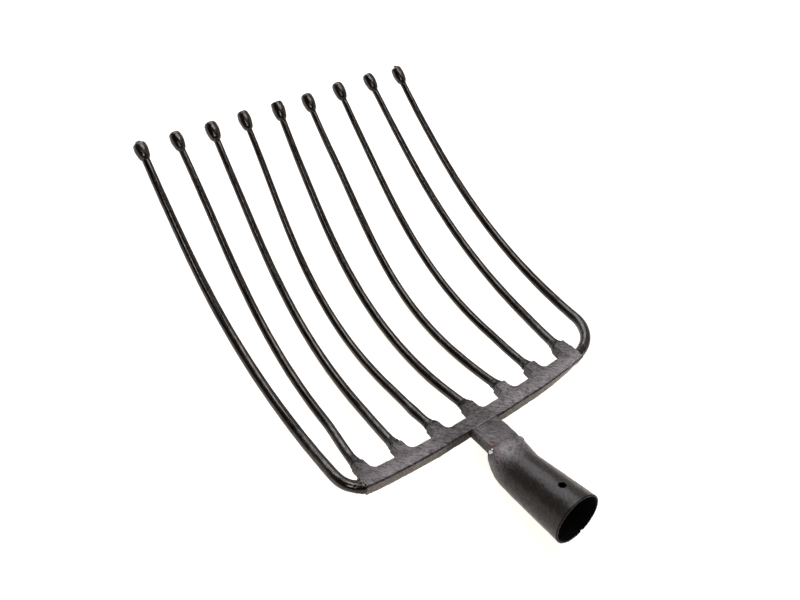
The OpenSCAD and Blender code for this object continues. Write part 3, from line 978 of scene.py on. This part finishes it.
def bar_painted_shade(points):
    """How much painted shade points of the bar and of the tines' roots get."""
    p = to_bar(points)
    x, y = p[:, 0], p[:, 1]
    wobble = noise_at(p, *BAR_SHADE_NOISE)
    below_top = dish(y) - p[:, 2]
    behind = fade(x + np.interp(y, *np.array(REAR_EDGE).T[:2]), *REAR_FACE_FADE)
    beside_neck = fade(-np.abs(y - NECK_MIDDLE), *BESIDE_NECK_FADE)
    near_side, far_side = [at + sway * wobble for at, sway in EDGE_LINE_SIDES]
    edge_line = fade(np.abs(below_top - EDGE_LINE_AT), near_side, far_side)
    left_face = fade(y - NECK_LEFT, *LEFT_FACE_FADE) * fade(NECK_LEFT - y, *NECK_SIDE_FADE)
    right_face = fade(-NECK_RIGHT - y, *RIGHT_FACE_FADE) * fade(y + NECK_RIGHT, *NECK_SIDE_FADE)
    far_sides = 1 + FAR_SIDES_MORE * fade(-np.abs(y), *FAR_SIDES_FADE)
    beyond_stub = x - STUB_REACH - ROOT_LINE_AT - ROOT_LINE_SWAY * wobble
    root_spots = fade(-noise_at(p, *ROOT_SPOT_NOISE), *ROOT_SPOT_FADE)
    left_end = fade(-y, -BAR_END_LEFT - END_FADE, -BAR_END_LEFT)
    right_end = fade(y, BAR_END_RIGHT - END_FADE, BAR_END_RIGHT)
    places = {
        "upper rear edge": behind * edge_line * beside_neck,
        "rear face left of the neck": behind * left_face,
        "rear face right of the neck": behind * right_face,
        "middle of the top": fade(np.abs(y - MIDDLE_AT), *MIDDLE_FADE) * (1 - behind),
        "front": fade(-x, *FRONT_FADE) * (1 - behind) * far_sides,
        "roots": fade(np.abs(beyond_stub), *ROOT_LINE_FADE) * root_spots,
        "joint": fade(x, *JOINT_FRONT_FADE) * (1 - beside_neck),
        "strip left of the neck": fade(x, *STRIP_WIDTH_FADE) * fade(np.abs(y - STRIP_AT), *STRIP_LENGTH_FADE),
        "front left corner": fade(-y, *CORNER_SIDE_FADE) * fade(-x, *CORNER_FRONT_FADE),
        "beyond the ends": left_end + right_end,
    }
    return np.max([BAR_SHADE[name] * share for name, share in places.items()], axis=0)


def neck_painted_shade(points):
    """How much painted shade points of the neck, its weld and the socket get, with a plainly darker top on
    the neck.
    """
    p = to_bar(points)
    wobble = noise_at(p, *NECK_SHADE_NOISE)
    joint_from, joint_to = JOINT_BACK_FADE
    joint = fade(-p[:, 0], joint_from, joint_to + JOINT_BACK_SWAY * wobble)
    side = fade(p[:, 2] + NECK_T, *SIDE_FADE)
    rim = fade(to_socket(points)[:, 0], *RIM_FADE)
    top = NECK_TOP_DARKENING + TOP_BAR_DARKENING * fade(-p[:, 0], *TOP_BAR_FADE)
    top = top + TOP_RIGHT_DARKENING * fade(p[:, 1], *TOP_RIGHT_FADE)
    neck = np.maximum(JOINT_SHADE * joint, top + SIDE_SHADE * side) * fade(-p[:, 0], *NECK_END_FADE)
    return np.maximum(neck, RIM_SHADE * rim)


# Edges sharper than this stay sharp on pieces that were cut from the softened form
SHARP_EDGE = math.radians(50)
# How squarely a face of the socket looks towards its middle line before it takes the near-black finish of
# painted shade
FACING_IN = -0.3


def place_forged(node, mesh, slot, painted_shade, *materials):
    """Places a piece that was cut from a softened form: its cut edges stay sharp."""
    # Painted shade, stored on the piece for its finish
    add_painted_shade(mesh, painted_shade)
    place(node, mesh, slot, *materials)
    mesh.set_sharp_from_angle(angle=SHARP_EDGE)


def shade_inside(mesh):
    """Gives the faces that look towards the socket's middle line the mesh's second finish, the painted shade
    of the bore.
    """
    for polygon in mesh.polygons:
        centre = to_socket(np.array(polygon.center))
        facing = turn_y(np.array(polygon.normal), -LIE_TILT)
        outwards = centre[1] * facing[1] + centre[2] * facing[2]
        if outwards < FACING_IN * math.hypot(centre[1], centre[2]):
            polygon.material_index = 1


# Drops of weld: middle in the bar's frame, and radius
SPATTER = [((22.8, 31.6, 0.4), 0.9), ((24.0, -62.4, -0.6), 0.8)]
# Sizes of the small faces, and rounds of smoothing, of the forged form and of the seam's weld
FORM_VOXEL = 0.0005
FORM_ROUNDS = 3
SEAM_VOXEL = 0.0004
SEAM_ROUNDS = 2
SHOULDER_ROUNDS = 60
# Where the seam lies round the socket, and the fill of its notch: its two ends, half its width, and how far
# it stays under the outside
SEAM_TURN = math.radians(25)
SEAM_FILL_FROM = 0.9
SEAM_FILL_TO = 4
SEAM_FILL_HALF = 1
SEAM_FILL_SINK = 0.1
# Reaches of the boxes that cut the pieces: well past everything, behind the bar, and past the neck's sides
WIDE = 60
BAR_BACK = 3
NECK_SPARE = 0.6


def drop(centre, radius):
    """A small ball of weld."""
    bm = bmesh.new()
    bmesh.ops.create_icosphere(bm, subdivisions=2, radius=radius * MM)
    bmesh.ops.translate(bm, verts=bm.verts, vec=Vector(from_bar(centre)))
    return mesh_from(bm, "drop")


def from_seam(p):
    """Millimetres along, across and out from the socket's middle line at its seam, to the model's frame."""
    along, across, out = np.asarray(p, float)
    c, q = math.cos(SEAM_TURN), math.sin(SEAM_TURN)
    return from_socket([along, across * c - out * q, -across * q - out * c])


def collar_room(tine):
    """The box that holds a tine's weld and nothing of the bar."""
    if not tine.outer:
        stub = tine.middle(0)[1]
        return box(from_bar, [STUB_REACH, stub - STUB_W, -WIDE], [WIDE, stub + STUB_W, WIDE])
    ends = (BAR_END_LEFT, 2 * BAR_END_LEFT) if tine.i == 0 else (2 * BAR_END_RIGHT, BAR_END_RIGHT)
    return box(from_bar, [-BAR_BACK, ends[0], -WIDE], [WIDE, ends[1], WIDE])


cad = {node: thing.data for node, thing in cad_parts.items()}
seam_fill = box(
    from_seam, [SEAM_FILL_FROM, -SEAM_FILL_HALF, BORE_R],
    [SEAM_FILL_TO, SEAM_FILL_HALF, MOUTH_R - SEAM_FILL_SINK])
fused = [cad[node] for node in ("crossbar", "neck", "neck_weld", "socket", "socket_seam_weld")]
fused += [seam_fill]
fused += [skin(collar_rings(tine)) for tine in tines]
fused += [drop(centre, radius) for centre, radius in SPATTER]
whole = softened(fused, FORM_VOXEL, FORM_ROUNDS)
blend(whole, shoulder_share, SHOULDER_ROUNDS)
move_points(whole, form_change)
shape_rear(whole)

neck_sides = (-NECK_RIGHT - NECK_SPARE, NECK_LEFT + NECK_SPARE)
joint_room = box(from_bar, [-BAR_BACK - 1, neck_sides[0], -WIDE], [0, neck_sides[1], WIDE])
bar_room = box(from_bar, [-BAR_BACK, BAR_END_RIGHT, -WIDE], [STUB_REACH, BAR_END_LEFT, WIDE])
crossbar = cut_mesh(cut_mesh(whole, bar_room, "INTERSECT"), joint_room, "DIFFERENCE")
place_forged("crossbar", crossbar, "bar_paint", bar_painted_shade, bar_paint)
for tine in tines:
    weld = cut_mesh(whole, collar_room(tine), "INTERSECT")
    finish = tine_paint if tine.outer else weld_paint
    place_forged(f"tine_weld_{tine.i + 1}", weld, "weld_metal", bar_painted_shade, finish)

weld_room = box(from_bar, [-GROOVE, neck_sides[0], -WIDE], [0, neck_sides[1], WIDE])
neck_weld = cut_mesh(whole, weld_room, "INTERSECT")
place_forged("neck_weld", neck_weld, "weld_metal", neck_painted_shade, bar_paint)
neck_room = box(from_bar, [-NECK_LEN, -WIDE, -NECK_T], [-GROOVE, WIDE, WIDE])
neck = cut_mesh(whole, neck_room, "INTERSECT")
place_forged("neck", neck, "bar_paint", neck_painted_shade, bar_paint)
neck_front = box(from_bar, [-NECK_LEN, -WIDE, -NECK_T], [WIDE, WIDE, WIDE])
bar_side = box(from_bar, [-GROOVE, -3 * WIDE, -WIDE], [2 * WIDE, 3 * WIDE, WIDE])
socket = cut_mesh(cut_mesh(whole, neck_front, "DIFFERENCE"), bar_side, "DIFFERENCE")
place_forged("socket", socket, "socket_paint", neck_painted_shade, socket_paint, shaded_socket_inside)
shade_inside(socket)

seam_weld = softened([cad["socket_seam_weld"]], SEAM_VOXEL, SEAM_ROUNDS)
move_points(seam_weld, weld_change)
place("socket_seam_weld", seam_weld, "weld_metal", weld_paint, shaded_socket_inside)
shade_inside(seam_weld)

# Weld beads at the socket's shoulders

# Middle of each in the bar's frame, and its radii along, across and up
LEFT_BEAD = ([-21.2, 13.2, -3.6], (2.0, 1.6, 3.4))
RIGHT_BEAD = ([-25.4, -14.0, -4.9], (3.8, 1.6, 2.6))
# How much of the radius their lumps are, and how fast these change round a bead
BEAD_LUMP = 0.15
BEAD_LUMP_ROUND = 1.4


def bead(node, centre, radii, material):
    """A lumpy drop of weld."""
    bm = bmesh.new()
    bmesh.ops.create_icosphere(bm, subdivisions=4, radius=1.0)
    for v in bm.verts:
        lump = 1 + BEAD_LUMP * noise.noise(v.co * BEAD_LUMP_ROUND + Vector(centre))
        v.co = Vector(from_bar(np.array(centre) + np.array(v.co) * np.array(radii) * lump))
    place(node, mesh_from(bm, "bead"), "weld_metal", material)


bead("left_shoulder_weld", *LEFT_BEAD, bare_weld)
bead("right_shoulder_weld", *RIGHT_BEAD, weld_paint)

# Floor

# The middle of the floor, which the lights look at too
MODEL_MIDDLE = (0.2, 0, 0)
FLOOR_SIZE = 8
FLOOR_COLOUR = rgb(0.4, 0.39, 0.38)
FLOOR_GLOW = rgb(1.0, 0.94, 0.88)
FLOOR_GLOW_STRENGTH = 0.96

bpy.ops.mesh.primitive_plane_add(
    size=FLOOR_SIZE, location=(MODEL_MIDDLE[0], MODEL_MIDDLE[1], size_before[0][2]))
floor = bpy.context.object
floor.name = "floor"
floor_finish, floor_nodes = new_finish("floor_finish")
floor_shader = floor_nodes.add("ShaderNodeBsdfPrincipled", {
    "Base Color": FLOOR_COLOUR, "Roughness": 1.0, "Specular IOR Level": 0.0,
    "Emission Color": FLOOR_GLOW, "Emission Strength": FLOOR_GLOW_STRENGTH})
floor_nodes.end(floor_shader.outputs["BSDF"])
floor.data.materials.append(floor_finish)

# Lights, each with its bearing and height in degrees, distance, two sides, watts and colour

LIGHTS = {
    "far_window": (-12, 40, 1.9, (1.6, 1.0), 22, (0.95, 0.96, 1.0)),
    "overhead": (-60, 78, 1.7, (1.3, 1.0), 24, (1.0, 0.98, 0.96)),
    "near_window": (132, 47, 1.8, (0.55, 0.5), 7.5, (1.0, 0.98, 0.96)),
}


def around(azimuth, elevation, distance, centre):
    """A point at a distance from a centre, by its bearing and height in degrees."""
    az, el = math.radians(azimuth), math.radians(elevation)
    towards = Vector((math.cos(az) * math.cos(el), math.sin(az) * math.cos(el), math.sin(el)))
    return Vector(centre) + distance * towards


def area(name, azimuth, elevation, distance, size, watts, colour):
    """A rectangular light that looks at the middle of the model."""
    light = bpy.data.lights.new(name, "AREA")
    light.shape = "RECTANGLE"
    light.size, light.size_y = size
    light.energy = watts
    light.color = colour
    thing = bpy.data.objects.new(name, light)
    thing.location = around(azimuth, elevation, distance, MODEL_MIDDLE)
    away = thing.location - Vector(MODEL_MIDDLE)
    thing.rotation_euler = away.to_track_quat("Z", "Y").to_euler()
    bpy.context.scene.collection.objects.link(thing)


for name, light in LIGHTS.items():
    area(name, *light)

# Surroundings, dimmer behind the camera

CAMERA_SIDE = (-0.36, 0.62, 0.69)
SKY_COLOUR = rgb(1.0, 0.965, 0.94)
# Cosines with the camera's side between which the surroundings go from their brightest to their dimmest
SKY_RANGE = (0.05, 0.65)
SKY_BRIGHT = 0.6
SKY_DIM = 0.01

world = bpy.data.worlds.new("studio")
bpy.context.scene.world = world
world.use_nodes = True
sky = Nodes(world.node_tree)
bearing = sky.add("ShaderNodeTexCoord").outputs["Generated"]
towards_camera = sky.add("ShaderNodeVectorMath", {0: bearing, 1: CAMERA_SIDE}, operation="DOT_PRODUCT")
strength = sky.ramp(towards_camera.outputs["Value"], *SKY_RANGE, SKY_BRIGHT, SKY_DIM)
background = sky.add("ShaderNodeBackground", {"Color": SKY_COLOUR, "Strength": strength})
sky.end(background.outputs["Background"], "ShaderNodeOutputWorld")

# Camera

CAMERA_AIM = Vector((0.21165, -0.00604, 0.0))
CAMERA_DISTANCE = 1.15766
CAMERA_AZIMUTH = 120.195
CAMERA_ELEVATION = 51.031
CAMERA_ROLL = math.radians(-25.24)
CAMERA_LENS = 69.19
SENSOR_WIDTH = 36
NEAREST_SEEN = 0.05

place_of_camera = around(CAMERA_AZIMUTH, CAMERA_ELEVATION, CAMERA_DISTANCE, CAMERA_AIM)
ahead = (CAMERA_AIM - place_of_camera).normalized()
level = ahead.cross(Vector((0, 0, 1))).normalized()
down = ahead.cross(level)
right = math.cos(CAMERA_ROLL) * level + math.sin(CAMERA_ROLL) * down
up = right.cross(ahead)
camera_data = bpy.data.cameras.new("camera")
camera_data.lens = CAMERA_LENS
camera_data.sensor_width = SENSOR_WIDTH
camera_data.clip_start = NEAREST_SEEN
camera = bpy.data.objects.new("camera", camera_data)
camera.matrix_world = Matrix.Translation(place_of_camera) @ Matrix((right, up, -ahead)).transposed().to_4x4()
bpy.context.scene.collection.objects.link(camera)
bpy.context.scene.camera = camera
bpy.context.scene.view_settings.view_transform = "Standard"
